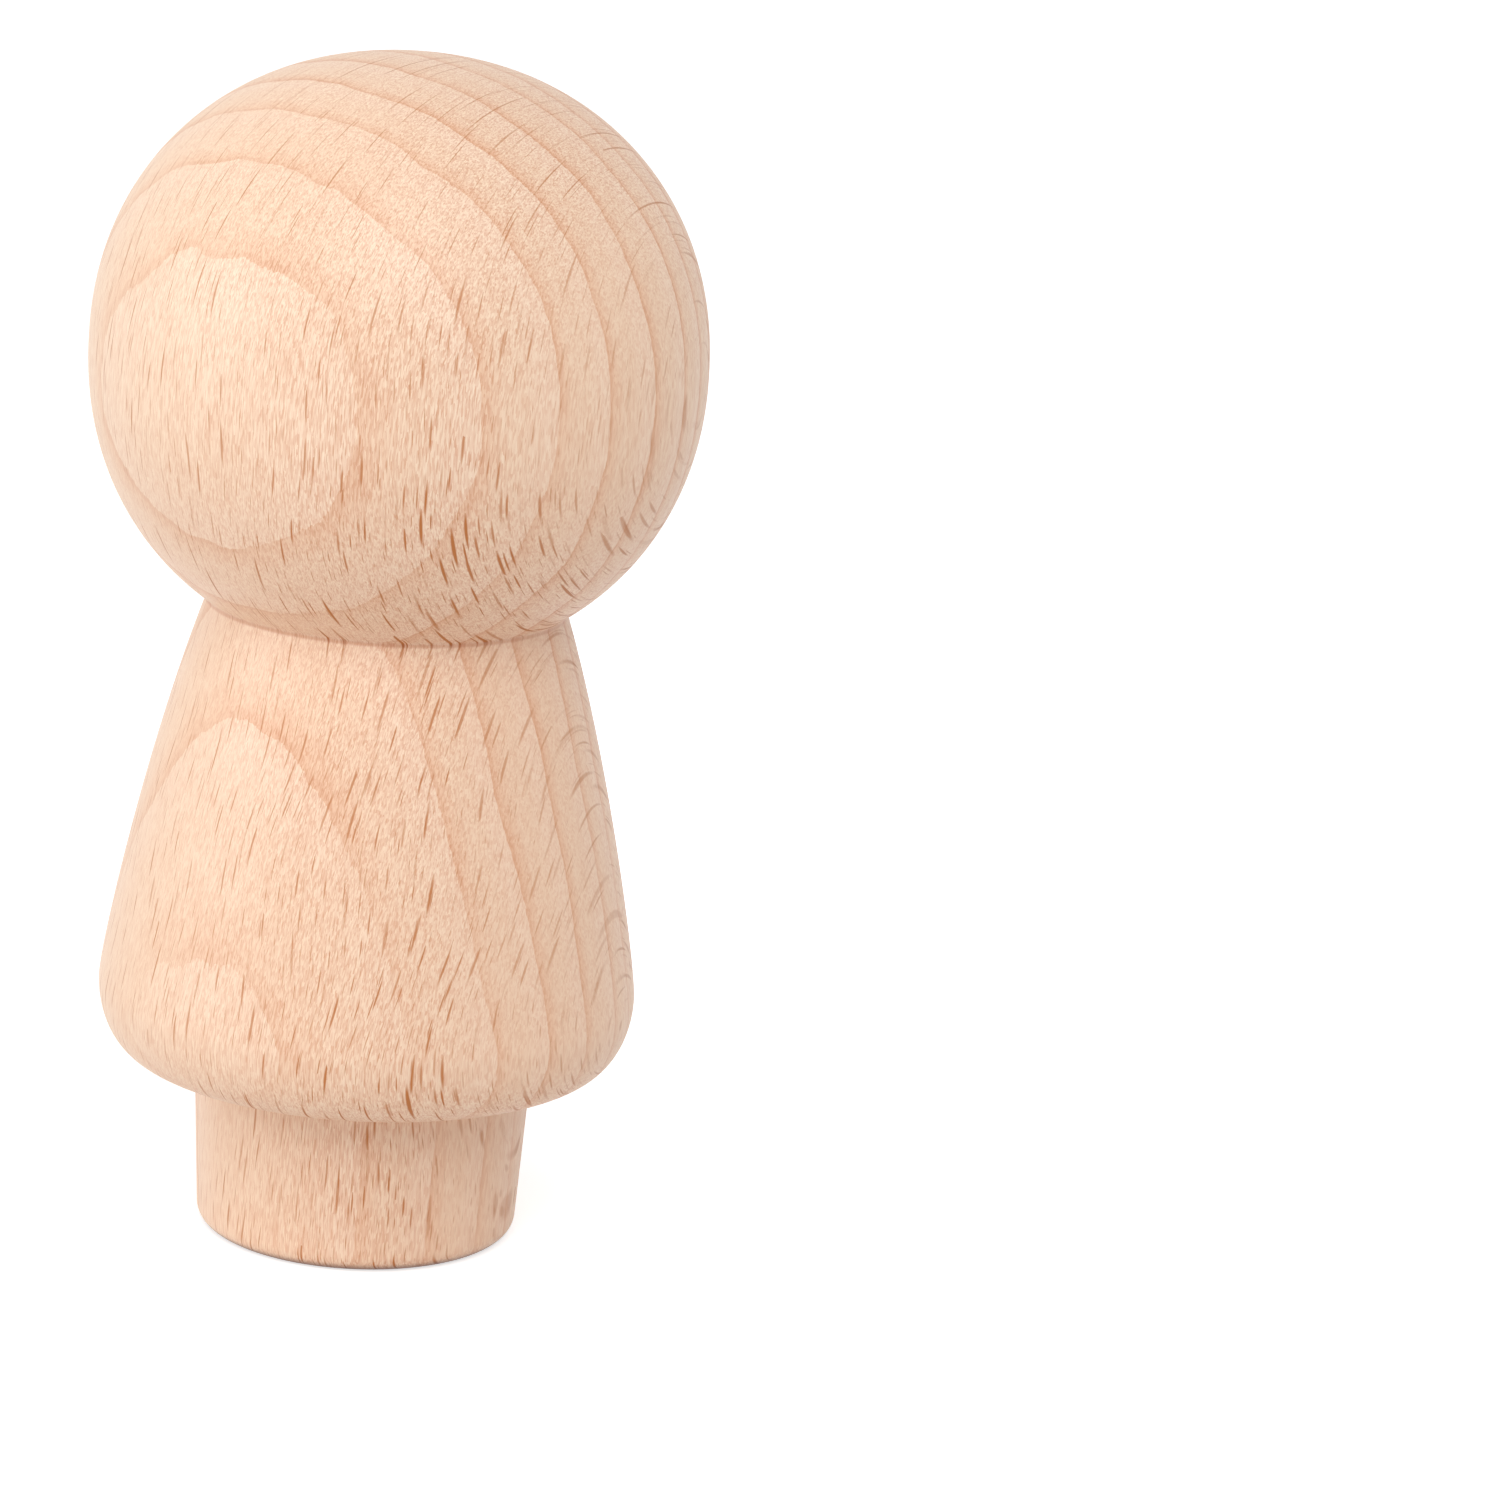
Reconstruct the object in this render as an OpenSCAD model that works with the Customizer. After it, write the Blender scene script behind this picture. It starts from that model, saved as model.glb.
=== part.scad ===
// Peg doll: a ball head, a flared dress and a stepped foot, turned from one billet of beech.
// The turning axis is Z. The origin is the centre of the foot's underside. Lengths are in millimetres.

/* [Head] */
// Radius of the head at its widest
head_r = 22.5; // [18:0.5:30]
// Height from the head's widest circle to its crown
head_half_h = 22; // [17:0.5:30]
// How far out the ball's shoulder lies, as a share of its radius and half height: 0.707 is a plain ellipse
head_shoulder_share = 0.721; // [0.707:0.001:0.757]

/* [Neck] */
// Radius of the crease where the head meets the dress
neck_r = 13.2; // [10:0.1:16]
// Radius of the hollow fillet at the bottom of the crease
neck_fillet_r = 0.4; // [0.2:0.1:1.5]

/* [Dress] */
// Height of the dress, from the hem's underside to the crease
dress_h = 34.6; // [24:0.1:50]
// Radius of the dress at its widest, above the rolled hem
hem_r = 19.95; // [17.5:0.05:24]
// How far the rolled hem turns in from the widest circle
hem_roll_w = 3.35; // [1:0.05:5]
// Height of the rolled hem, from its underside to the widest circle
hem_roll_h = 5.3; // [2:0.1:9]
// Slope of the dress at the crease, in degrees from the vertical
dress_flare = 18.7; // [8:0.1:26]
// How far that slope carries on below the crease, as a share of the flank's height
flank_top_share = 0.43; // [0.2:0.01:0.6]
// How far the flank stays upright above the hem, as a share of its height
flank_hem_share = 0.06; // [0.03:0.01:0.4]

/* [Foot] */
// Height of the foot, from the table to the hem's underside
foot_h = 13.5; // [7:0.1:24]
// Radius of the foot where it meets the hem
foot_top_r = 12.65; // [9:0.05:14]
// Radius of the foot at the table, before its edge is rounded
foot_bottom_r = 11.9; // [8:0.05:14]
// Radius of the rounded edge at the table
foot_edge_r = 1.4; // [0.4:0.1:4]
// Radius of the hollow fillet under the hem
foot_cove_r = 0.8; // [0.3:0.1:1.6]

/* [Hidden] */

beech = "#F0C6A2";

// How finely the outline's curves are stepped: points on the head, the flank, the hem and each fillet
head_steps = 60;
flank_steps = 24;
hem_steps = 16;
fillet_steps = 6;
turning_facets = 180;

// Heights of the circles that the outline is built on
crease_z = foot_h + dress_h;
widest_z = foot_h + hem_roll_h;
flank_h = crease_z - widest_z;

// The head is a superellipse through its shoulder, halfway round from the widest circle to the crown. Its
// lower end is the point where its radius has shrunk to the crease's.
head_power = ln(head_shoulder_share) / ln(cos(45));
head_squareness = 2 / head_power;
crease_t = -acos(pow(neck_r / head_r, 1 / head_power));
head_drop = head_half_h * pow(sin(-crease_t), head_power);
head_z = crease_z + head_drop;

function head_point(t) = [
    head_r * pow(cos(t), head_power),
    head_z + sign(t) * head_half_h * pow(abs(sin(t)), head_power)
];

// The flank is a cubic curve from the crease, leaving at the flare, to the widest circle, arriving upright
flank_top = [neck_r, crease_z];
flank_top_handle = flank_top + flank_top_share * flank_h * [sin(dress_flare), -cos(dress_flare)];
flank_hem = [hem_r, widest_z];
flank_hem_handle = flank_hem + [0, flank_hem_share * flank_h];

function cubic(s, a, b, c, d) =
    pow(1 - s, 3) * a + 3 * pow(1 - s, 2) * s * b + 3 * (1 - s) * pow(s, 2) * c + pow(s, 3) * d;
function flank_point(s) = cubic(s, flank_top, flank_top_handle, flank_hem_handle, flank_hem);

// The hem rolls under as a quarter of an ellipse, from the widest circle at 0 to its flat underside at 90
function hem_point(t) = [
    hem_r - hem_roll_w * (1 - cos(t)),
    widest_z - hem_roll_h * sin(t)
];

// The foot's wall leans out towards the hem by this angle
foot_taper = (foot_top_r - foot_bottom_r) / foot_h;
foot_lean = atan(foot_taper);
function foot_wall_r(z) = foot_bottom_r + foot_taper * z;

// Centres of the arcs that round the foot's edge and fill the corner under the hem
foot_edge_c = [foot_wall_r(foot_edge_r) - foot_edge_r / cos(foot_lean), foot_edge_r];
cove_z = foot_h - foot_cove_r;
foot_cove_c = [foot_wall_r(cove_z) + foot_cove_r / cos(foot_lean), cove_z];

// The crease fillet touches the head on one side and the dress on the other: head_lean is the slope of the
// head's underside there, and the run is how far up each side the fillet reaches
head_lean = atan(
    pow(head_drop / head_half_h, head_squareness - 1) / head_half_h
    / (pow(neck_r / head_r, head_squareness - 1) / head_r)
);
crease_half = (180 - head_lean - dress_flare) / 2;
crease_tilt = (dress_flare - head_lean) / 2;
crease_run = neck_fillet_r / tan(crease_half);
crease_c = flank_top + neck_fillet_r / sin(crease_half) * [cos(crease_tilt), sin(crease_tilt)];
flank_start_s = crease_run / (3 * norm(flank_top_handle - flank_top));
head_start_t = crease_t + crease_run / norm(head_point(crease_t + 1) - head_point(crease_t));

// Points on an arc about c, from angle a0 to angle a1, both ends included
function arc_points(c, r, a0, a1, steps) = [
    for (k = [0:steps])
        let (a = a0 + (a1 - a0) * k / steps)
        c + r * [cos(a), sin(a)]
];

// The turned outline, from the centre of the underside, out and up to the crown
foot_outline = concat(
    [[0, 0]],
    arc_points(foot_edge_c, foot_edge_r, -90, -foot_lean, fillet_steps),
    arc_points(foot_cove_c, foot_cove_r, 180 - foot_lean, 90, fillet_steps)
);
hem_outline = [for (k = [0:hem_steps]) hem_point(90 * (1 - k / hem_steps))];
flank_outline = [
    for (k = [1:flank_steps - 1]) flank_point(1 - (1 - flank_start_s) * k / flank_steps)
];
crease_outline = arc_points(crease_c, neck_fillet_r, 180 + dress_flare, 180 - head_lean, fillet_steps);
head_outline = [
    for (k = [1:head_steps]) head_point(head_start_t + (90 - head_start_t) * k / head_steps)
];

module turned_doll() {
    color(beech)
    rotate_extrude($fn = turning_facets)
    polygon(concat(foot_outline, hem_outline, flank_outline, crease_outline, head_outline));
}

turned_doll();
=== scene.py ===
"""A peg doll turned from one billet of raw beech, standing on a pale floor in soft studio light.

Lengths are in metres and the turning axis is Z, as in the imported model. The grain is a solid pattern: it is
worked out in millimetres about the tree's own pith, so every cut through the wood shows what it would show.
"""

import math

import bpy
import numpy as np
from bpy.props import (
    FloatProperty,
    FloatVectorProperty,
    IntProperty,
    PointerProperty,
)
from mathutils import Matrix, Vector


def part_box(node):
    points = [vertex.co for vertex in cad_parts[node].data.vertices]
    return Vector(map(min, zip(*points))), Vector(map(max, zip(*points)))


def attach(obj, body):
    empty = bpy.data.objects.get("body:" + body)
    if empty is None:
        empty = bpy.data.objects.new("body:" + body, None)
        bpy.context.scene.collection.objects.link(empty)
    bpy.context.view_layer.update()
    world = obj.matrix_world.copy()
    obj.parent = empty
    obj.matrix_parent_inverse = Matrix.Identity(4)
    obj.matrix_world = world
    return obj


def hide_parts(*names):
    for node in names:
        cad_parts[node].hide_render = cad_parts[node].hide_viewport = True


bl_info = {
    "name": "Turned Beech Peg Doll",
    "version": (1, 0, 0),
    "blender": (4, 5, 0),
    "location": "3D View > Sidebar > Peg Doll",
    "description": "Turns a peg doll from one billet of raw beech and sets it on a studio floor",
    "category": "Add Mesh",
}

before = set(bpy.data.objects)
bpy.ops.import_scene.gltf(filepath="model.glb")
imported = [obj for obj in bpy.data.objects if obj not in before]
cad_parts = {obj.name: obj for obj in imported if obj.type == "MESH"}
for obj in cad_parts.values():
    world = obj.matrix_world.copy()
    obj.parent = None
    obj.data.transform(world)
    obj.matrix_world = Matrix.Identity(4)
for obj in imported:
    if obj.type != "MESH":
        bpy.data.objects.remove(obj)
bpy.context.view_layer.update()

NODE = "turned_doll"
BODY = "root"
MM = 0.001
CROWN_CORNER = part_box(NODE)[1]

# How many points each stretch of the turned outline has, from the middle of the underside to the crown
POINTS = {
    "underside": 10,
    "edge": 14,
    "wall": 22,
    "cove": 12,
    "hem_flat": 9,
    "hem": 40,
    "flank": 66,
    "crease": 12,
    "head": 104,
}

# A ring's colours from its start, at 0, to the thin line that ends it, at 1
RING_TONES = (
    (0.0, "early_wood"),
    (0.2, "early_wood"),
    (0.5, "middle_wood"),
    (0.72, "middle_wood"),
    (0.93, "late_wood"),
    (0.965, "ring_line"),
    (1.0, "ring_line"),
)

# Noise that moves a ring's edge slowly, over 6 mm, and frays it, over 0.4 mm, and that fades the rings in
# patches of 8 mm. Scales are in waves per millimetre. Along the fibres the first two are four times as long.
EDGE_SQUEEZE = (1, 1, 0.25)
WANDER_NOISE = {"Scale": 0.16, "Detail": 2.0}
RAGGED_NOISE = {"Scale": 2.5, "Detail": 2.0}
PATCH_NOISE = {"Scale": 0.12, "Detail": 2.0}

# How far the rings fade into the middle wood: by patch, by the radius about the pith in millimetres, and by
# the height above the table
PATCH_FADE = {"From Min": 0.35, "From Max": 0.65, "To Min": 0.30, "To Max": 0.0}
BARKWARD_FADE = {"From Min": 60.0, "From Max": 70.0, "To Min": 0.0, "To Max": 0.38}
FOOTWARD_FADE = {"From Min": 20 * MM, "From Max": 36 * MM, "To Min": 0.24, "To Max": 0.0}

# Broad, narrow and fine rays. Spacing and half size are in millimetres round the pith, up it and out from it.
# On a flat-sawn face beech's rays are up to 0.2 mm wide and 4 mm tall. A ray here fades towards its border,
# so it looks about a quarter smaller than its size.
RAY_KINDS = (
    {"spacing": (0.53, 3.3, 13.0), "half_size": (0.120, 2.15, 7.5), "dropped": 0.10, "darkness": 1.00},
    {"spacing": (0.34, 2.4, 10.0), "half_size": (0.064, 1.40, 5.5), "dropped": 0.05, "darkness": 0.90},
    {"spacing": (0.22, 1.5, 7.0), "half_size": (0.036, 0.70, 3.7), "dropped": 0.00, "darkness": 0.65},
)
# The rays sway round the pith in waves of 10 to 30 mm, given in waves per millimetre out, round and up
SWAY_SQUEEZE = (0.03, 0.10, 0.08)
# The grid of cells is turned, so that neighbouring rays don't start level with each other
RAY_GRID_TURN = (0.55, 0.45, 0.50)
# How far the rays stray from that grid, from 0 to 1
RAY_SCATTER = 0.7
# A ray has at least the first share of its full size, by chance
RAY_SIZE = {"To Min": 0.45, "To Max": 1.0}
# A ray is at full strength up to this share of the way out from its middle, and fades to none at its border
RAY_BORDER = {"From Min": 1.0, "From Max": 0.45, "To Min": 0.0, "To Max": 1.0}
# A ray's strength goes by chance: none for the share that is dropped, then growing to full over this share
RAY_STRENGTH_SPREAD = 0.6
# How much a ray is squeezed round the pith, from a closed one to an open one: a closed ray looks narrow
CLOSED_SQUEEZE = {"To Min": 1.6, "To Max": 0.85}
# How dark a ray is, from a closed one to an open one. An open ray's extra darkness is partly torn grain and
# partly painted shade of raking light in its hollow
OPEN_AND_SHADED_DARKNESS = {"From Min": 0.4, "From Max": 0.9, "To Min": 0.72, "To Max": 1.18}

# From the head's middle down, the rays are open further round the doll, and the fibres lie smoother and are a
# little darker on average
# This extra darkness low on the head is partly painted shade of the head's shaded underside
LOW_DOWN = {"From Min": 56 * MM, "From Max": 67 * MM, "To Min": 0.3, "To Max": 0.0}
LOW_SMOOTHING = -0.4
LOW_DARKENING = 0.3
# By how far the surface faces round the pith: how strongly its fibres show, and how dark they are on average
COARSE_CUT = {"From Min": -0.6, "From Max": 0.4, "To Min": 0.45, "To Max": 1.0}
FIBRE_TONE = {"From Min": -0.6, "From Max": 0.4, "To Min": 0.20, "To Max": 0.36}
# A ray that lies in the surface is a thin film, paler than one that the surface cuts across, and the fibres
# are fainter there too
FILM = {"From Min": 0.70, "From Max": 1.0, "To Min": 1.0, "To Max": 0.45}

# Soft streaks, coarse and fine. A squeeze is out from the pith, round it and along the fibres, and a scale is
# in waves per millimetre, so the fine ones are about 0.1 mm wide and 1.4 mm long.
STREAKS = (
    {"squeeze": (0.60, 1, 0.25), "scale": 1.1, "detail": 2.0, "darkness": 0.12},
    {"squeeze": (0.50, 1, 0.08), "scale": 9.0, "detail": 1.0, "darkness": 0.45},
)
# A streak goes from its full darkness to none over this range of its noise
STREAK_RANGE = {"From Min": 0.15, "From Max": 0.60}

# Real fibres are 0.02 mm wide, too fine to show, so each is drawn as a cell about 0.06 mm wide and 0.7 mm
# long: this many cells per millimetre out from the pith, round it and along the fibres
FIBRE_CELLS = (9, 16, 1.4)
# A cell's darkness is this much times a random number to this power, less the mean of that
FIBRE_CONTRAST = 0.90
FIBRE_POWER = 1.3
FIBRE_MEAN = -0.39

# Fibres and rays are cut this deep, in millimetres
FIBRE_DEPTH = 0.01
RAY_DEPTH = 0.004
BUMP_STRENGTH = 0.2
WOOD_IOR = 1.5

# The thin dark lines in the crease and on the foot's lower edge stand in for contact shadow, which light this
# soft gives too weakly. They are part of the wood's colour, so they stay in any light. This is how far each
# reaches up and down, how dark it is at most, and how far from the doll's axis the foot's one starts.
CREASE_SHADE = {"From Min": 0.04 * MM, "From Max": 0.26 * MM, "To Min": 0.55, "To Max": 0.0}
FOOT_SHADE = {"From Min": 0.10 * MM, "From Max": 0.85 * MM, "To Min": 1.0, "To Max": 0.0}
FOOT_RING = {"From Min": 10.4 * MM, "From Max": 11.1 * MM, "To Min": 0.0, "To Max": 1.0}

# The width of the camera's sensor, which its focal length goes with
SENSOR_MM = 36


def srgb(code):
    """An sRGB hex colour, such as #F0C6A2, as linear red, green, blue and an alpha of 1, by sRGB's curve."""
    parts = [int(code[k:k + 2], 16) / 255 for k in (1, 3, 5)]
    linear = [c / 12.92 if c <= 0.04045 else ((c + 0.055) / 1.055) ** 2.4 for c in parts]
    return (*linear, 1.0)


def length(name, description, default):
    """A size, in metres."""
    return FloatProperty(
        name=name,
        description=description,
        default=default,
        min=0,
        precision=5,
        subtype="DISTANCE",
        unit="LENGTH",
    )


def place(name, description, default):
    """A point, in metres."""
    return FloatVectorProperty(
        name=name,
        description=description,
        default=default,
        precision=4,
        subtype="TRANSLATION",
        unit="LENGTH",
    )


def angle(name, description, default):
    """An angle, in radians."""
    return FloatProperty(
        name=name,
        description=description,
        default=default,
        subtype="ANGLE",
        unit="ROTATION",
    )


def amount(name, description, default):
    """A plain number that is never below zero, such as a strength or a size in millimetres."""
    return FloatProperty(name=name, description=description, default=default, min=0)


def share(name, description, default, low=0, high=1):
    """A share of a whole, from low to high."""
    return FloatProperty(
        name=name,
        description=description,
        default=default,
        min=low,
        max=high,
        precision=3,
        subtype="FACTOR",
    )


def colour(name, description, code):
    """A colour of the finish, written as an sRGB hex code."""
    return FloatVectorProperty(
        name=name,
        description=description,
        default=srgb(code),
        size=4,
        min=0,
        max=1,
        subtype="COLOR",
    )


class DollShape(bpy.types.PropertyGroup):
    """Sizes of the turned outline. The doll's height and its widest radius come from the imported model."""

    height: length("Height", "From the table to the crown", CROWN_CORNER.z)
    head_radius: length("Head radius", "Radius of the head at its widest", CROWN_CORNER.x)
    head_half_height: length("Head half height", "From the head's widest circle to its crown", 22 * MM)
    head_shoulder: share(
        "Head shoulder",
        "How far out the ball's shoulder lies, as a share of its radius: 0.707 is a plain ellipse",
        0.721,
        low=0.707,
        high=0.757,
    )
    neck_radius: length("Neck radius", "Radius of the crease between head and dress", 13.2 * MM)
    neck_fillet: length("Neck fillet", "Radius of the hollow at the bottom of the crease", 0.4 * MM)
    hem_radius: length("Hem radius", "Radius of the dress at its widest", 19.95 * MM)
    hem_roll_width: length("Hem roll width", "How far the rolled hem turns in", 3.35 * MM)
    hem_roll_height: length("Hem roll height", "From the hem's underside to its widest circle", 5.3 * MM)
    dress_flare: angle(
        "Dress flare", "Slope of the dress at the crease, from the vertical", math.radians(18.7)
    )
    flank_top_reach: share(
        "Flank top reach",
        "How far the slope carries on below the crease, as a share of the flank's height",
        0.43,
    )
    flank_hem_reach: share(
        "Flank hem reach",
        "How far the flank stays upright above the hem, as a share of its height",
        0.06,
    )
    foot_height: length("Foot height", "From the table to the hem's underside", 13.5 * MM)
    foot_top_radius: length("Foot top radius", "Radius of the foot under the hem", 12.65 * MM)
    foot_bottom_radius: length("Foot bottom radius", "Radius of the foot at the table", 11.9 * MM)
    foot_edge: length("Foot edge", "Radius of the rounded edge at the table", 1.4 * MM)
    foot_cove: length("Foot cove", "Radius of the hollow under the hem", 0.8 * MM)
    turning_steps: IntProperty(name="Turning steps", description="Points round the axis", default=320, min=64)


class BeechFinish(bpy.types.PropertyGroup):
    """Where the tree's pith lies beside the doll, what the grain measures, and its colours."""

    pith: place("Pith", "A point on the tree's pith, beside the doll", (33.3 * MM, 42.4 * MM, 45 * MM))
    pith_lean: FloatVectorProperty(
        name="Pith lean",
        description="How far the pith leans along X and Y as it climbs by one",
        default=(-0.030, -0.017),
        size=2,
        precision=3,
    )
    first_ring: length("First ring", "Radius about the pith of the innermost ring edge", 28.4 * MM)
    ring_widths: FloatVectorProperty(
        name="Ring widths",
        description="Width of each growth ring in millimetres, from the pith outwards",
        default=(3.6, 3.5, 3.8, 3.3, 3.7, 3.5, 3.4, 4.1, 4.1, 3.7, 4.2, 4.2, 4.0),
        size=13,
        precision=1,
    )
    ring_wander: amount("Ring wander", "How far a ring edge wanders, in millimetres", 1.4)
    ring_ragged: amount("Ring raggedness", "How ragged a ring edge is, in millimetres", 0.25)
    spiral_grain: angle("Spiral grain", "How far the fibres lean from the pith's direction", math.radians(4))
    ray_sway: amount("Ray sway", "How far the rays sway round the pith, in millimetres", 1.6)
    # Rays on this side are darker: partly torn grain, partly painted shade of raking light on the side facing
    # down
    open_and_shaded_side: FloatVectorProperty(
        name="Open side",
        description=(
            "Which way the side faces that was cut against the grain, where rays open. X is out from the"
            " pith and Z up it"
        ),
        default=(0.0, 0.60, -0.45),
        subtype="DIRECTION",
        precision=2,
    )
    crease_height: length("Crease height", "From the table to the crease at the neck", 48.0 * MM)
    early_wood: colour("Early wood", "Pale wood at the start of a ring", "#FFE6CE")
    middle_wood: colour("Middle wood", "The middle of a ring", "#FCE1C6")
    late_wood: colour("Late wood", "Darker wood towards the end of a ring", "#F4CDAD")
    ring_line: colour("Ring line", "The thin dark line that ends a ring", "#EBBC99")
    fibre_tint: colour("Fibre tint", "What the darkest fibres multiply the wood's colour by", "#E4C5B6")
    ray_fleck: colour("Ray fleck", "The dark lens-shaped rays", "#B96D2D")
    # Painted shade: the crease's dark line stands in for contact shadow
    crease_shade_tint: colour("Crease tint", "What the dark line in the crease multiplies the wood by", "#D2A68A")
    # Painted shade: the foot's dark line stands in for contact shadow
    foot_shade_tint: colour("Foot tint", "What the dark line on the foot's edge multiplies the wood by", "#8A6D5E")
    roughness: share("Roughness", "Roughness of the sanded wood", 0.45)


class StudioSetup(bpy.types.PropertyGroup):
    """The floor, the lamps, the surroundings and the camera."""

    floor_half: length("Floor half width", "Half the width of the floor", 3.0)
    floor_gap: length("Floor gap", "How far the floor lies under the foot", 0.01 * MM)
    floor_colour: colour("Floor", "The pale floor", "#E2E2E2")
    floor_lift: amount("Floor lift", "Light added to the floor as the camera sees it", 0.64)
    surround: amount("Surround", "Strength of the white surroundings", 0.53)
    lamp_width: length("Lamp width", "Width of each square lamp", 0.7)
    key_place: place("Key lamp place", "Where the key lamp hangs", (-1.04, -0.28, 0.27))
    key_share: amount("Key lamp", "Light from the key lamp, as a share of full white", 0.35)
    top_place: place("Top lamp place", "Where the top lamp hangs", (0.0, -0.78, 0.82))
    top_share: amount("Top lamp", "Light from the top lamp, as a share of full white", 0.475)
    camera_distance: length("Camera distance", "From the doll's axis to the camera", 411.7 * MM)
    camera_height: length("Camera height", "How far the camera is above the table", 145.7 * MM)
    camera_yaw: angle("Camera yaw", "Turn to the right of the doll's axis", 0.0664)
    camera_pitch: angle("Camera pitch", "Tilt above the level", -0.2548)
    camera_roll: angle("Camera roll", "Turn about the line of sight", 0.0686)
    lens: FloatProperty(
        name="Lens",
        description="Focal length on a 36 mm sensor",
        default=138,
        subtype="DISTANCE_CAMERA",
    )


def arc(centre, radius, start, end, steps):
    """Points on an arc: centre + radius times (cos a, sin a), with a going evenly from start to end."""
    a = np.linspace(start, end, steps)[:, None]
    return np.array(centre) + radius * np.hstack([np.cos(a), np.sin(a)])


def turned_outline(shape):
    """The doll's outline as rows of (radius, height), from the centre of the underside up to the crown.

    The foot is a leaning wall with an arc at the table and an arc under the hem. The hem is a quarter of an
    ellipse. The flank is the cubic curve (1-s)^3 a + 3(1-s)^2 s b + 3(1-s) s^2 c + s^3 d. The head is a
    superellipse: radius times cos(t)^p and half height times sin(t)^p, where p makes it pass its shoulder.
    The crease between them is an arc that touches both.
    """
    power = math.log(shape.head_shoulder) / math.log(math.cos(math.radians(45)))
    fullness = 2 / power
    neck = shape.neck_radius / shape.head_radius
    crease_t = math.acos(neck ** (1 / power))
    head_drop = shape.head_half_height * math.sin(crease_t) ** power
    head_z = shape.height - shape.head_half_height
    crease_z = head_z - head_drop
    widest_z = shape.foot_height + shape.hem_roll_height
    flank_height = crease_z - widest_z

    taper = (shape.foot_top_radius - shape.foot_bottom_radius) / shape.foot_height
    lean = math.atan(taper)
    cove_z = shape.foot_height - shape.foot_cove
    edge_centre = (
        shape.foot_bottom_radius + taper * shape.foot_edge - shape.foot_edge / math.cos(lean),
        shape.foot_edge,
    )
    cove_centre = (
        shape.foot_bottom_radius + taper * cove_z + shape.foot_cove / math.cos(lean),
        cove_z,
    )
    edge = arc(edge_centre, shape.foot_edge, -math.pi / 2, -lean, POINTS["edge"])
    cove = arc(cove_centre, shape.foot_cove, math.pi - lean, math.pi / 2, POINTS["cove"])
    underside = np.linspace((0, 0), edge[0], POINTS["underside"])[:-1]
    wall = np.linspace(edge[-1], cove[0], POINTS["wall"])[1:-1]

    u = np.linspace(math.pi / 2, 0, POINTS["hem"])
    hem = np.stack([
        shape.hem_radius - shape.hem_roll_width * (1 - np.cos(u)),
        widest_z - shape.hem_roll_height * np.sin(u),
    ], axis=1)
    hem_flat = np.linspace(cove[-1], hem[0], POINTS["hem_flat"])[1:-1]

    flare = shape.dress_flare
    down_the_slope = np.array([math.sin(flare), -math.cos(flare)])
    top = np.array([shape.neck_radius, crease_z])
    top_handle = top + shape.flank_top_reach * flank_height * down_the_slope
    widest = np.array([shape.hem_radius, widest_z])
    widest_handle = widest + np.array([0, shape.flank_hem_reach * flank_height])

    # Dress and head would meet in a sharp corner at the crease. The arc touches each of them one run from it.
    head_lean = math.atan(
        (head_drop / shape.head_half_height) ** (fullness - 1) / shape.head_half_height
        / (neck ** (fullness - 1) / shape.head_radius)
    )
    half_angle = (math.pi - head_lean - flare) / 2
    tilt = (flare - head_lean) / 2
    run = shape.neck_fillet / math.tan(half_angle)
    into_crease = np.array([math.cos(tilt), math.sin(tilt)])
    crease_centre = top + shape.neck_fillet / math.sin(half_angle) * into_crease
    crease = arc(crease_centre, shape.neck_fillet, math.pi + flare, math.pi - head_lean, POINTS["crease"])

    s_at_crease = run / (3 * np.linalg.norm(top_handle - top))
    s = np.linspace(1, s_at_crease, POINTS["flank"])[1:-1, None]
    flank = (
        (1 - s) ** 3 * top + 3 * (1 - s) ** 2 * s * top_handle
        + 3 * (1 - s) * s ** 2 * widest_handle + s ** 3 * widest
    )

    def head_at(t):
        """Points of the superellipse at angles t above the widest circle."""
        out = np.maximum(np.cos(t), 0)
        up = np.sin(t)
        return np.stack([
            shape.head_radius * out ** power,
            head_z + np.sign(up) * shape.head_half_height * np.abs(up) ** power,
        ], axis=1)

    # The head starts one run above the corner, by how far its curve goes in one degree there
    step = math.radians(1)
    one_degree = np.linalg.norm(np.diff(head_at(np.array([-crease_t, step - crease_t])), axis=0))
    head = head_at(np.linspace(run / one_degree * step - crease_t, math.pi / 2, POINTS["head"])[1:])
    return np.vstack([underside, edge, wall, cove, hem_flat, hem, flank, crease, head])


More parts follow.
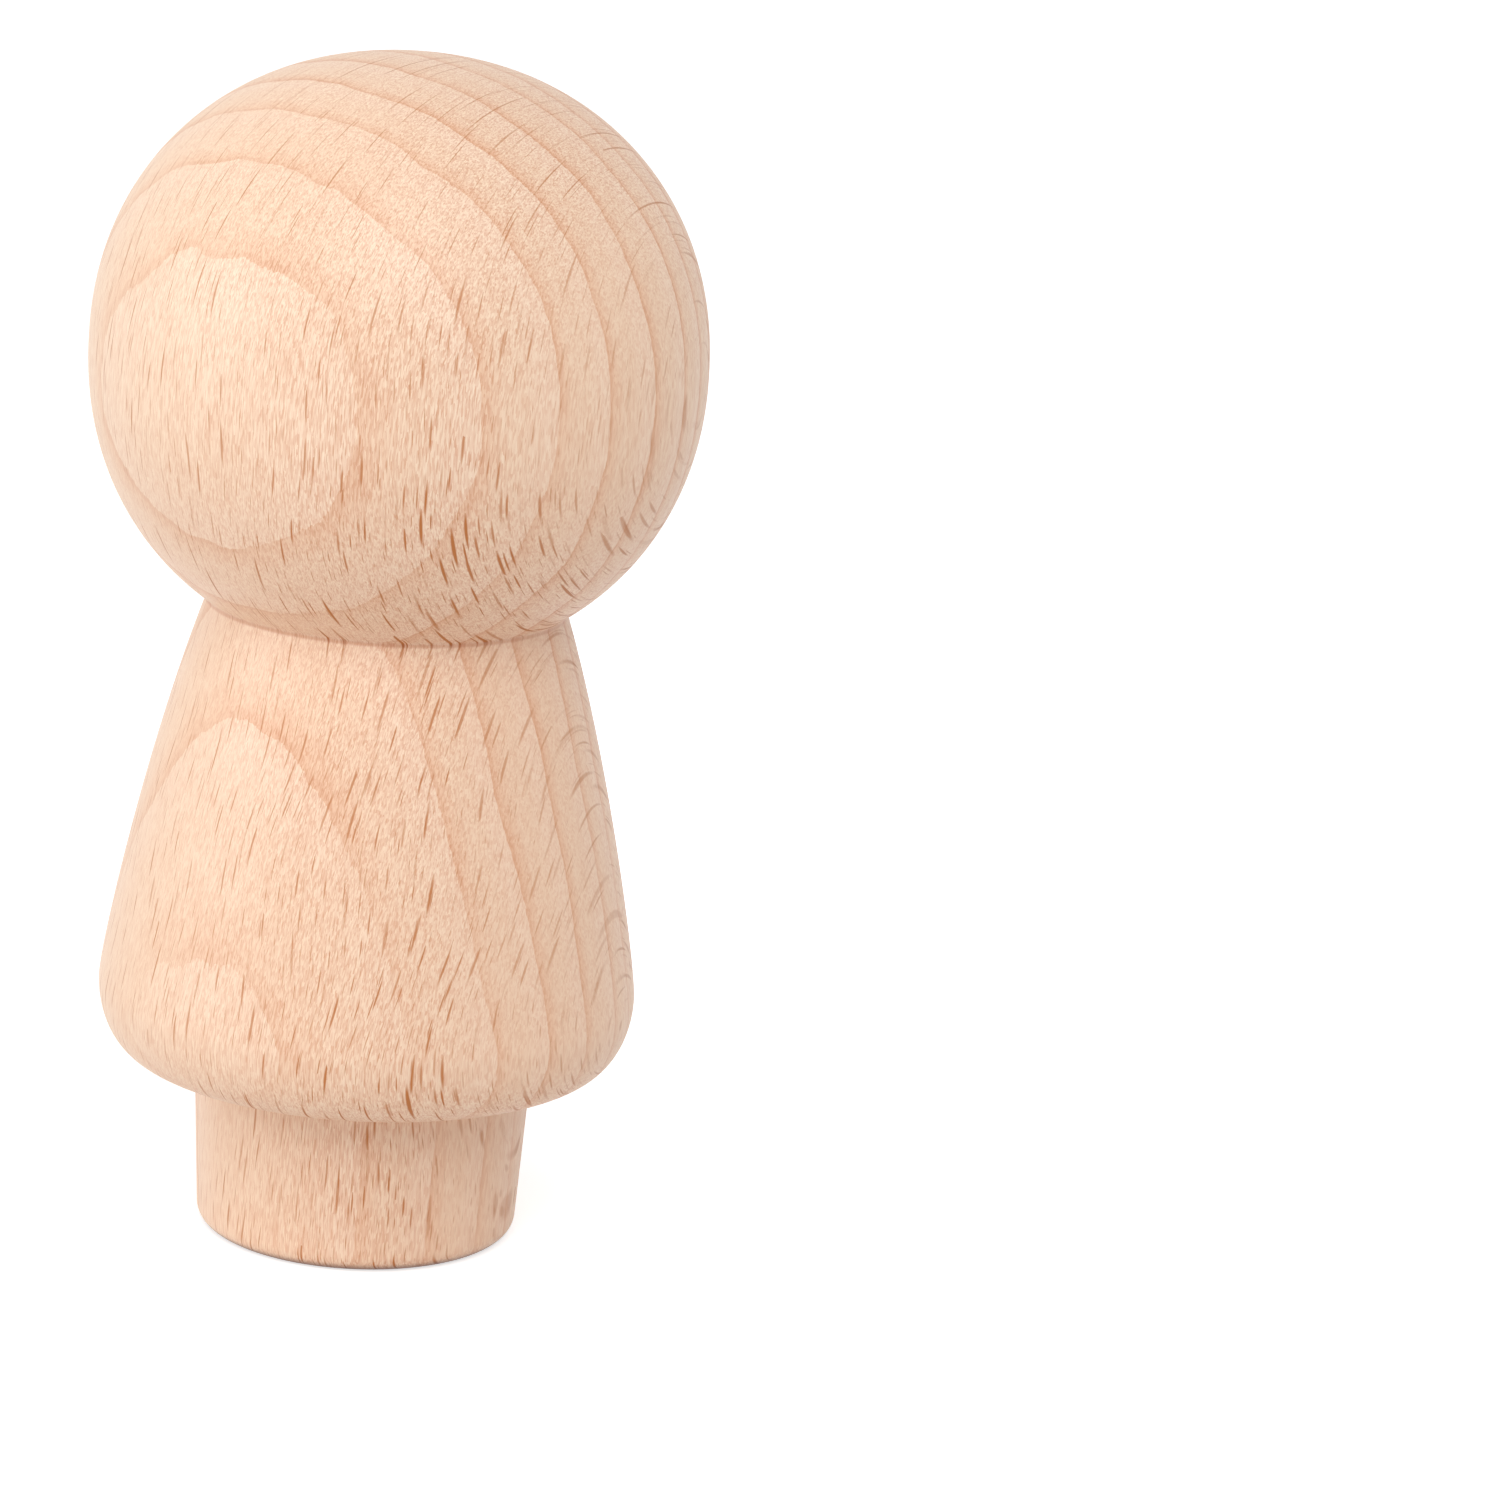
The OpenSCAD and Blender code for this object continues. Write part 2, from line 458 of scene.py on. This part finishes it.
def turned_mesh(name, outline, columns):
    """A closed surface of revolution: row i and column j give (r cos a, r sin a, z), a = 2 pi j / columns.

    The first and last rows lie on the axis, so each is one point with a fan of triangles.
    """
    turn = np.arange(columns) * (2 * math.pi / columns)
    rings = outline[1:-1]
    points = np.stack([
        rings[:, :1] * np.cos(turn),
        rings[:, :1] * np.sin(turn),
        np.repeat(rings[:, 1:], columns, axis=1),
    ], axis=-1).reshape(-1, 3)
    bottom = len(points)
    crown = bottom + 1
    points = np.vstack([points, [0, 0, outline[0, 1]], [0, 0, outline[-1, 1]]])

    here = np.arange(columns)
    there = (here + 1) % columns
    row = (np.arange(len(rings) - 1) * columns)[:, None]
    above = row + columns
    quads = np.stack([row + here, row + there, above + there, above + here], axis=-1).reshape(-1, 4)
    last = (len(rings) - 1) * columns
    fans = np.vstack([
        np.stack([np.full(columns, bottom), there, here], axis=1),
        np.stack([np.full(columns, crown), last + here, last + there], axis=1),
    ])
    corners = np.concatenate([quads.ravel(), fans.ravel()])
    starts = np.concatenate([np.arange(len(quads)) * 4, quads.size + np.arange(len(fans)) * 3])

    mesh = bpy.data.meshes.new(name)
    mesh.vertices.add(len(points))
    mesh.vertices.foreach_set("co", points.astype(np.float32).ravel())
    mesh.loops.add(len(corners))
    mesh.loops.foreach_set("vertex_index", corners.astype(np.int32))
    mesh.polygons.add(len(starts))
    mesh.polygons.foreach_set("loop_start", starts.astype(np.int32))
    mesh.update(calc_edges=True)
    mesh.polygons.foreach_set("use_smooth", np.ones(len(starts), dtype=bool))
    if mesh.validate():
        raise RuntimeError(f"the mesh of {name} had faults")
    return mesh


def add(tree, kind, inputs=None, **settings):
    """Adds a node, sets its settings, and gives each input a value or the output of another node."""
    node = tree.nodes.new(kind)
    for key, value in settings.items():
        setattr(node, key, value)
    for key, value in (inputs or {}).items():
        if isinstance(value, bpy.types.NodeSocket):
            tree.links.new(value, node.inputs[key])
        else:
            node.inputs[key].default_value = value
    return node


def set_stops(ramp, stops):
    """Gives a colour ramp its stops, each a position and a colour."""
    elements = ramp.color_ramp.elements
    while len(elements) > 1:
        elements.remove(elements[-1])
    elements[0].position, elements[0].color = stops[0]
    for position, shade in stops[1:]:
        elements.new(position).color = shade


def pith_frame(finish):
    """Turns the pattern's axes to the tree: Z up the pith, X from the pith through the doll to the bark."""
    up = Vector((*finish.pith_lean, 1)).normalized()
    outward = Vector((-finish.pith[0], -finish.pith[1], 0))
    x = (outward - outward.dot(up) * up).normalized()
    return Matrix((x, up.cross(x), up)).transposed()


def growth_rings(tree, finish, wood, radius, height_up):
    """The rings' colour. A ring starts pale, darkens slowly, and ends in a thin line with a ragged edge.

    The radius about the pith is looked up against the ring edges, which gives a ring number whose fraction is
    how far through its ring a point lies.
    """
    along_fibres = add(tree, "ShaderNodeVectorMath", {
        0: wood, 1: EDGE_SQUEEZE,
    }, operation="MULTIPLY").outputs[0]
    wander = add(tree, "ShaderNodeTexNoise", {"Vector": along_fibres, **WANDER_NOISE})
    ragged = add(tree, "ShaderNodeTexNoise", {"Vector": along_fibres, **RAGGED_NOISE})
    wandered = add(tree, "ShaderNodeMath", {
        0: wander.outputs["Fac"], 1: finish.ring_wander, 2: radius,
    }, operation="MULTIPLY_ADD").outputs[0]
    edge_at = add(tree, "ShaderNodeMath", {
        0: ragged.outputs["Fac"], 1: finish.ring_ragged, 2: wandered,
    }, operation="MULTIPLY_ADD").outputs[0]

    # Noise is about a half on average, so the edges are set out by that much to keep their places
    set_out = (finish.ring_wander + finish.ring_ragged) / 2
    edges = finish.first_ring / MM + set_out + np.concatenate([[0], np.cumsum(finish.ring_widths)])
    count = len(edges) - 1
    edge_shares = (edges - edges[0]) / (edges[-1] - edges[0])
    along = add(tree, "ShaderNodeMapRange", {
        "Value": edge_at, "From Min": edges[0], "From Max": edges[-1],
    }).outputs[0]
    number = add(tree, "ShaderNodeValToRGB", {"Fac": along})
    set_stops(number, [(edge_shares[k], (k / count,) * 3 + (1,)) for k in range(count + 1)])
    number = add(tree, "ShaderNodeMath", {
        0: number.outputs["Color"], 1: count,
    }, operation="MULTIPLY").outputs[0]
    through_ring = add(tree, "ShaderNodeMath", {0: number}, operation="FRACT").outputs[0]
    tone = add(tree, "ShaderNodeValToRGB", {"Fac": through_ring})
    set_stops(tone, [(position, getattr(finish, wood_name)) for position, wood_name in RING_TONES])

    # The rings are strong in some places and almost lost in others, and fainter towards the bark and the foot
    patchy = add(tree, "ShaderNodeTexNoise", {"Vector": wood, **PATCH_NOISE}).outputs["Fac"]
    faded = add(tree, "ShaderNodeMapRange", {"Value": patchy, **PATCH_FADE}).outputs[0]
    for follows, fade in ((radius, BARKWARD_FADE), (height_up, FOOTWARD_FADE)):
        more = add(tree, "ShaderNodeMapRange", {"Value": follows, **fade}).outputs[0]
        faded = add(tree, "ShaderNodeMath", {0: faded, 1: more}, operation="ADD").outputs[0]
    return add(tree, "ShaderNodeMix", {
        "Factor": faded, 6: tone.outputs["Color"], 7: finish.middle_wood,
    }, data_type="RGBA").outputs[2]


def ray_mask(tree, finish, grain, radius, open_and_shaded, kind):
    """Rays of one kind, as a mask: flat lens-shaped sheets that run out from the pith.

    Space round the pith is laid out as (way round, way up, way out) in millimetres and split into cells, with
    one ray about each cell's own point. A ray is an ellipsoid of three half sizes, shrunk by chance, and the
    share of the cells that is dropped stays bare.
    """
    axes = add(tree, "ShaderNodeSeparateXYZ", {0: grain})
    way_round = add(tree, "ShaderNodeMath", {
        0: axes.outputs["Y"], 1: axes.outputs["X"],
    }, operation="ARCTAN2").outputs[0]
    slow = add(tree, "ShaderNodeVectorMath", {0: grain, 1: SWAY_SQUEEZE}, operation="MULTIPLY").outputs[0]
    sway = add(tree, "ShaderNodeTexNoise", {"Vector": slow, "Scale": 1.0, "Detail": 0.0}).outputs["Fac"]
    swayed = add(tree, "ShaderNodeMath", {0: sway, 1: finish.ray_sway}, operation="MULTIPLY").outputs[0]
    middle_radius = finish.first_ring / MM + sum(finish.ring_widths) / 2
    side = add(tree, "ShaderNodeMath", {
        0: way_round, 1: middle_radius, 2: swayed,
    }, operation="MULTIPLY_ADD").outputs[0]
    spot = add(tree, "ShaderNodeCombineXYZ", {"X": side, "Y": axes.outputs["Z"], "Z": radius}).outputs[0]

    cell_at = add(tree, "ShaderNodeVectorMath", {0: spot, 1: kind["spacing"]}, operation="DIVIDE").outputs[0]
    cell_at = add(tree, "ShaderNodeVectorRotate", {
        "Vector": cell_at, "Rotation": RAY_GRID_TURN,
    }, rotation_type="EULER_XYZ").outputs[0]
    cell = add(tree, "ShaderNodeTexVoronoi", {"Vector": cell_at, "Scale": 1.0, "Randomness": RAY_SCATTER})
    apart = add(tree, "ShaderNodeVectorMath", {
        0: cell_at, 1: cell.outputs["Position"],
    }, operation="SUBTRACT").outputs[0]
    apart = add(tree, "ShaderNodeVectorRotate", {
        "Vector": apart, "Rotation": RAY_GRID_TURN,
    }, rotation_type="EULER_XYZ", invert=True).outputs[0]

    half_sizes_per_cell = [gap / half for gap, half in zip(kind["spacing"], kind["half_size"])]
    sized = add(tree, "ShaderNodeVectorMath", {
        0: apart, 1: half_sizes_per_cell,
    }, operation="MULTIPLY").outputs[0]
    closed = add(tree, "ShaderNodeMapRange", {"Value": open_and_shaded, **CLOSED_SQUEEZE}).outputs[0]
    closed = add(tree, "ShaderNodeCombineXYZ", {"X": closed, "Y": 1.0, "Z": 1.0}).outputs[0]
    sized = add(tree, "ShaderNodeVectorMath", {0: sized, 1: closed}, operation="MULTIPLY").outputs[0]
    reach = add(tree, "ShaderNodeVectorMath", {0: sized}, operation="LENGTH").outputs["Value"]

    chance = add(tree, "ShaderNodeSeparateColor", {0: cell.outputs["Color"]})
    size = add(tree, "ShaderNodeMapRange", {"Value": chance.outputs["Red"], **RAY_SIZE}).outputs[0]
    inside = add(tree, "ShaderNodeMath", {0: reach, 1: size}, operation="DIVIDE").outputs[0]
    fleck = add(tree, "ShaderNodeMapRange", {
        "Value": inside, **RAY_BORDER,
    }, interpolation_type="SMOOTHSTEP").outputs[0]
    strength = add(tree, "ShaderNodeMapRange", {
        "Value": chance.outputs["Green"],
        "From Min": kind["dropped"],
        "From Max": kind["dropped"] + RAY_STRENGTH_SPREAD,
    }).outputs[0]
    # Open rays are darker, partly for torn grain and partly as painted shade of raking light
    darkened = add(tree, "ShaderNodeMapRange", {"Value": open_and_shaded, **OPEN_AND_SHADED_DARKNESS}).outputs[0]
    strength = add(tree, "ShaderNodeMath", {0: strength, 1: darkened}, operation="MULTIPLY").outputs[0]
    return add(tree, "ShaderNodeMath", {0: fleck, 1: strength}, operation="MULTIPLY").outputs[0]


def raw_turned_beech(finish):
    """Raw turned beech, sanded and unfinished, with a soft lustre.

    It shows pale rings that darken to a thin line, brown ray flecks that are dashes on the flat-sawn sides
    and broad marks on the quarter, and crisp fibre streaks. Painted shade darkens the crease at the neck and
    the foot's lower edge, standing in for contact shadow.
    """
    material = bpy.data.materials.new("raw_turned_beech")
    material.use_nodes = True
    tree = material.node_tree
    tree.nodes.clear()

    # The tree's own axes, in millimetres, and the height above the table, in metres
    at = add(tree, "ShaderNodeTexCoord")
    wood = add(tree, "ShaderNodeMapping", {
        "Vector": at.outputs["Object"],
        "Location": finish.pith,
        "Rotation": pith_frame(finish).to_euler(),
        "Scale": (MM, MM, MM),
    }, vector_type="TEXTURE").outputs[0]
    across = add(tree, "ShaderNodeVectorMath", {0: wood, 1: (1, 1, 0)}, operation="MULTIPLY").outputs[0]
    radius = add(tree, "ShaderNodeVectorMath", {0: across}, operation="LENGTH").outputs["Value"]
    height_up = add(tree, "ShaderNodeSeparateXYZ", {0: at.outputs["Object"]}).outputs["Z"]
    colour_now = growth_rings(tree, finish, wood, radius, height_up)
    # Fibres and rays climb a little to one side of the pith's own direction, as spiral grain does
    grain = add(tree, "ShaderNodeMapping", {
        "Vector": wood, "Rotation": (finish.spiral_grain, 0, 0),
    }).outputs[0]

    # Cut with the grain the wood is smooth, and cut against it the fibres and rays stand open. The open rays'
    # extra darkness, on the side facing down and low on the head, is partly that torn grain and partly
    # painted shade of raking light
    facing = {
        key: add(tree, "ShaderNodeVectorMath", {
            0: at.outputs["Normal"], 1: pith_frame(finish) @ Vector(way),
        }, operation="DOT_PRODUCT").outputs["Value"]
        for key, way in (("round", (0, 1, 0)), ("open", finish.open_and_shaded_side))
    }
    low_down = add(tree, "ShaderNodeMapRange", {
        "Value": height_up, **LOW_DOWN,
    }, interpolation_type="SMOOTHSTEP").outputs[0]
    open_and_shaded = add(tree, "ShaderNodeMath", {
        0: facing["open"], 1: low_down,
    }, operation="ADD", use_clamp=True).outputs[0]
    quarter = add(tree, "ShaderNodeMath", {0: facing["round"]}, operation="ABSOLUTE").outputs[0]
    film = add(tree, "ShaderNodeMapRange", {
        "Value": quarter, **FILM,
    }, interpolation_type="SMOOTHSTEP").outputs[0]

    # How strongly the fibres show, and how dark they are on average, so that one can change without the other
    coarse = add(tree, "ShaderNodeMapRange", {"Value": facing["round"], **COARSE_CUT}).outputs[0]
    coarse = add(tree, "ShaderNodeMath", {
        0: low_down, 1: LOW_SMOOTHING, 2: coarse,
    }, operation="MULTIPLY_ADD").outputs[0]
    coarse = add(tree, "ShaderNodeMath", {0: coarse, 1: film}, operation="MULTIPLY").outputs[0]
    fibre_tone = add(tree, "ShaderNodeMapRange", {"Value": facing["round"], **FIBRE_TONE}).outputs[0]
    fibre_tone = add(tree, "ShaderNodeMath", {
        0: low_down, 1: LOW_DARKENING, 2: fibre_tone,
    }, operation="MULTIPLY_ADD").outputs[0]

    darks = []
    for streak in STREAKS:
        streak_at = add(tree, "ShaderNodeVectorMath", {
            0: grain, 1: streak["squeeze"],
        }, operation="MULTIPLY").outputs[0]
        noise = add(tree, "ShaderNodeTexNoise", {
            "Vector": streak_at, "Scale": streak["scale"], "Detail": streak["detail"],
        }).outputs["Fac"]
        dark = add(tree, "ShaderNodeMapRange", {
            "Value": noise, **STREAK_RANGE, "To Min": streak["darkness"], "To Max": 0.0,
        }).outputs[0]
        darks.append(add(tree, "ShaderNodeMath", {0: dark, 1: coarse}, operation="MULTIPLY").outputs[0])

    cell_at = add(tree, "ShaderNodeVectorMath", {0: grain, 1: FIBRE_CELLS}, operation="MULTIPLY").outputs[0]
    chance = add(tree, "ShaderNodeTexVoronoi", {"Vector": cell_at, "Scale": 1.0}).outputs["Color"]
    chance = add(tree, "ShaderNodeSeparateColor", {0: chance}).outputs["Red"]
    dark = add(tree, "ShaderNodeMath", {0: chance, 1: FIBRE_POWER}, operation="POWER").outputs[0]
    dark = add(tree, "ShaderNodeMath", {
        0: dark, 1: FIBRE_CONTRAST, 2: FIBRE_MEAN,
    }, operation="MULTIPLY_ADD").outputs[0]
    darks.append(add(tree, "ShaderNodeMath", {
        0: dark, 1: coarse, 2: fibre_tone,
    }, operation="MULTIPLY_ADD", use_clamp=True).outputs[0])

    depth = 0.0
    for dark in darks:
        colour_now = add(tree, "ShaderNodeMix", {
            "Factor": dark, 6: colour_now, 7: finish.fibre_tint,
        }, data_type="RGBA", blend_type="MULTIPLY").outputs[2]
        depth = add(tree, "ShaderNodeMath", {
            0: dark, 1: -FIBRE_DEPTH, 2: depth,
        }, operation="MULTIPLY_ADD").outputs[0]

    for kind in RAY_KINDS:
        rays = ray_mask(tree, finish, grain, radius, open_and_shaded, kind)
        seen = add(tree, "ShaderNodeMath", {0: rays, 1: film}, operation="MULTIPLY").outputs[0]
        tint = add(tree, "ShaderNodeMath", {0: seen, 1: kind["darkness"]}, operation="MULTIPLY").outputs[0]
        colour_now = add(tree, "ShaderNodeMix", {
            "Factor": tint, 6: colour_now, 7: finish.ray_fleck,
        }, data_type="RGBA").outputs[2]
        depth = add(tree, "ShaderNodeMath", {
            0: seen, 1: -RAY_DEPTH, 2: depth,
        }, operation="MULTIPLY_ADD").outputs[0]

    # Painted shade: a dark line in the bottom of the crease at the neck, standing in for contact shadow
    from_crease = add(tree, "ShaderNodeMath", {
        0: height_up, 1: finish.crease_height,
    }, operation="SUBTRACT").outputs[0]
    from_crease = add(tree, "ShaderNodeMath", {0: from_crease}, operation="ABSOLUTE").outputs[0]
    painted_crease_shade = add(tree, "ShaderNodeMapRange", {
        "Value": from_crease, **CREASE_SHADE,
    }, interpolation_type="SMOOTHSTEP").outputs[0]

    # Painted shade: a dark line on the rounded edge that the doll stands on, standing in for contact shadow,
    # with the flat inside it left clean
    from_axis = add(tree, "ShaderNodeVectorMath", {
        0: at.outputs["Object"], 1: (1, 1, 0),
    }, operation="MULTIPLY").outputs[0]
    from_axis = add(tree, "ShaderNodeVectorMath", {0: from_axis}, operation="LENGTH").outputs["Value"]
    on_edge = add(tree, "ShaderNodeMapRange", {
        "Value": from_axis, **FOOT_RING,
    }, interpolation_type="SMOOTHSTEP").outputs[0]
    painted_foot_shade = add(tree, "ShaderNodeMapRange", {
        "Value": height_up, **FOOT_SHADE,
    }, interpolation_type="SMOOTHSTEP").outputs[0]
    painted_foot_shade = add(tree, "ShaderNodeMath", {0: painted_foot_shade, 1: on_edge}, operation="MULTIPLY").outputs[0]
    # Both lines are painted shade, multiplied into the wood's colour
    for line, tint in ((painted_crease_shade, finish.crease_shade_tint), (painted_foot_shade, finish.foot_shade_tint)):
        colour_now = add(tree, "ShaderNodeMix", {
            "Factor": line, 6: colour_now, 7: tint,
        }, data_type="RGBA", blend_type="MULTIPLY").outputs[2]

    bump = add(tree, "ShaderNodeBump", {"Height": depth, "Strength": BUMP_STRENGTH, "Distance": MM})
    surface = add(tree, "ShaderNodeBsdfPrincipled", {
        "Base Color": colour_now,
        "Roughness": finish.roughness,
        "IOR": WOOD_IOR,
        "Normal": bump.outputs["Normal"],
    })
    add(tree, "ShaderNodeOutputMaterial", {"Surface": surface.outputs[0]})
    return material


class PEGDOLL_OT_turned_doll(bpy.types.Operator):
    """Turn the doll as one closed surface and give it its beech"""

    bl_idname = "pegdoll.turned_doll"
    bl_label = "Turned Doll"

    def execute(self, context):
        shape = context.scene.peg_doll_shape
        mesh = turned_mesh("doll_body", turned_outline(shape), shape.turning_steps)
        mesh.materials.append(raw_turned_beech(context.scene.peg_doll_finish))
        doll = bpy.data.objects.new("doll_body", mesh)
        context.scene.collection.objects.link(doll)
        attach(doll, BODY)
        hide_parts(NODE)
        return {"FINISHED"}


def seen_directly(tree):
    """1 for what the camera sees directly, in a reflection or through glass, and 0 for what only lights."""
    rays = add(tree, "ShaderNodeLightPath")
    either = add(tree, "ShaderNodeMath", {
        0: rays.outputs["Is Camera Ray"], 1: rays.outputs["Is Glossy Ray"],
    }, operation="MAXIMUM")
    return add(tree, "ShaderNodeMath", {
        0: either.outputs[0], 1: rays.outputs["Is Transmission Ray"],
    }, operation="MAXIMUM").outputs[0]


def pale_floor(studio):
    """A matt pale floor, lifted to white where the camera sees it, so that only the doll's shadow shows."""
    material = bpy.data.materials.new("pale_floor")
    material.use_nodes = True
    tree = material.node_tree
    tree.nodes.clear()
    matt = add(tree, "ShaderNodeBsdfDiffuse", {"Color": studio.floor_colour})
    lift = add(tree, "ShaderNodeMath", {0: seen_directly(tree), 1: studio.floor_lift}, operation="MULTIPLY")
    glow = add(tree, "ShaderNodeEmission", {"Strength": lift.outputs[0]})
    both = add(tree, "ShaderNodeAddShader", {0: matt.outputs[0], 1: glow.outputs[0]})
    add(tree, "ShaderNodeOutputMaterial", {"Surface": both.outputs[0]})
    return material


def white_surround(studio):
    """White surroundings that light the doll evenly, and are plain white where the camera sees them."""
    world = bpy.data.worlds.new("white_surround")
    world.use_nodes = True
    tree = world.node_tree
    tree.nodes.clear()
    strength = add(tree, "ShaderNodeMapRange", {
        "Value": seen_directly(tree), "To Min": studio.surround, "To Max": 1.0,
    })
    sky = add(tree, "ShaderNodeBackground", {"Color": srgb("#FFFFFF"), "Strength": strength.outputs[0]})
    add(tree, "ShaderNodeOutputWorld", {"Surface": sky.outputs[0]})
    return world


def soft_lamp(scene, name, hung_at, width, target, white_share):
    """A square lamp that faces target and lights it to a share of full white.

    A square lamp at distance d lights a surface that faces it to full white with pi^2 d^2 watts.
    """
    lamp = bpy.data.lights.new(name, "AREA")
    lamp.shape = "SQUARE"
    lamp.size = width
    away = Vector(hung_at) - target
    lamp.energy = white_share * math.pi ** 2 * away.length_squared
    holder = bpy.data.objects.new(name, lamp)
    holder.location = hung_at
    holder.rotation_euler = away.to_track_quat("Z", "Y").to_euler()
    scene.collection.objects.link(holder)


class PEGDOLL_OT_studio(bpy.types.Operator):
    """Lay the floor, hang the lamps, whiten the surroundings and place the camera"""

    bl_idname = "pegdoll.studio"
    bl_label = "Studio"

    def execute(self, context):
        scene = context.scene
        studio = scene.peg_doll_studio
        # The floor lies a hair under the foot, so that the two flat faces aren't in one place
        half = studio.floor_half
        square = ((-half, -half), (half, -half), (half, half), (-half, half))
        corners = [(x, y, -studio.floor_gap) for x, y in square]
        mesh = bpy.data.meshes.new("floor")
        mesh.from_pydata(corners, [], [(0, 1, 2, 3)])
        mesh.materials.append(pale_floor(studio))
        floor = bpy.data.objects.new("floor", mesh)
        scene.collection.objects.link(floor)

        scene.world = white_surround(studio)
        middle = Vector((0, 0, scene.peg_doll_shape.height / 2))
        soft_lamp(scene, "key_lamp", studio.key_place, studio.lamp_width, middle, studio.key_share)
        soft_lamp(scene, "top_lamp", studio.top_place, studio.lamp_width, middle, studio.top_share)

        lens = bpy.data.cameras.new("camera")
        lens.sensor_width = SENSOR_MM
        lens.lens = studio.lens
        camera = bpy.data.objects.new("camera", lens)
        stand = Matrix.Translation((0, -studio.camera_distance, studio.camera_height))
        aim = (
            Matrix.Rotation(-studio.camera_yaw, 4, "Z")
            @ Matrix.Rotation(math.pi / 2 + studio.camera_pitch, 4, "X")
            @ Matrix.Rotation(studio.camera_roll, 4, "Z")
        )
        camera.matrix_world = stand @ aim
        scene.collection.objects.link(camera)
        scene.camera = camera
        scene.view_settings.view_transform = "Standard"
        return {"FINISHED"}


class PEGDOLL_PT_sidebar(bpy.types.Panel):
    """Lists the doll's sizes, its finish and the studio"""

    bl_idname = "PEGDOLL_PT_sidebar"
    bl_label = "Peg Doll"
    bl_space_type = "VIEW_3D"
    bl_region_type = "UI"
    bl_category = "Peg Doll"

    def draw(self, context):
        scene = context.scene
        for group, operator in (
            (scene.peg_doll_shape, None),
            (scene.peg_doll_finish, PEGDOLL_OT_turned_doll.bl_idname),
            (scene.peg_doll_studio, PEGDOLL_OT_studio.bl_idname),
        ):
            box = self.layout.box()
            for key in group.bl_rna.properties.keys():
                if key not in {"rna_type", "name"}:
                    box.prop(group, key)
            if operator:
                box.operator(operator)


CLASSES = (
    DollShape,
    BeechFinish,
    StudioSetup,
    PEGDOLL_OT_turned_doll,
    PEGDOLL_OT_studio,
    PEGDOLL_PT_sidebar,
)


def register():
    """Registers the classes and hangs their settings on the scene."""
    for item in CLASSES:
        bpy.utils.register_class(item)
    bpy.types.Scene.peg_doll_shape = PointerProperty(type=DollShape)
    bpy.types.Scene.peg_doll_finish = PointerProperty(type=BeechFinish)
    bpy.types.Scene.peg_doll_studio = PointerProperty(type=StudioSetup)


def unregister():
    """Takes the settings and the classes away again."""
    del bpy.types.Scene.peg_doll_studio
    del bpy.types.Scene.peg_doll_finish
    del bpy.types.Scene.peg_doll_shape
    for item in reversed(CLASSES):
        bpy.utils.unregister_class(item)


def main():
    """Builds the doll and the studio."""
    register()
    bpy.ops.pegdoll.turned_doll()
    bpy.ops.pegdoll.studio()
    bpy.context.view_layer.update()


if __name__ == "__main__":
    main()
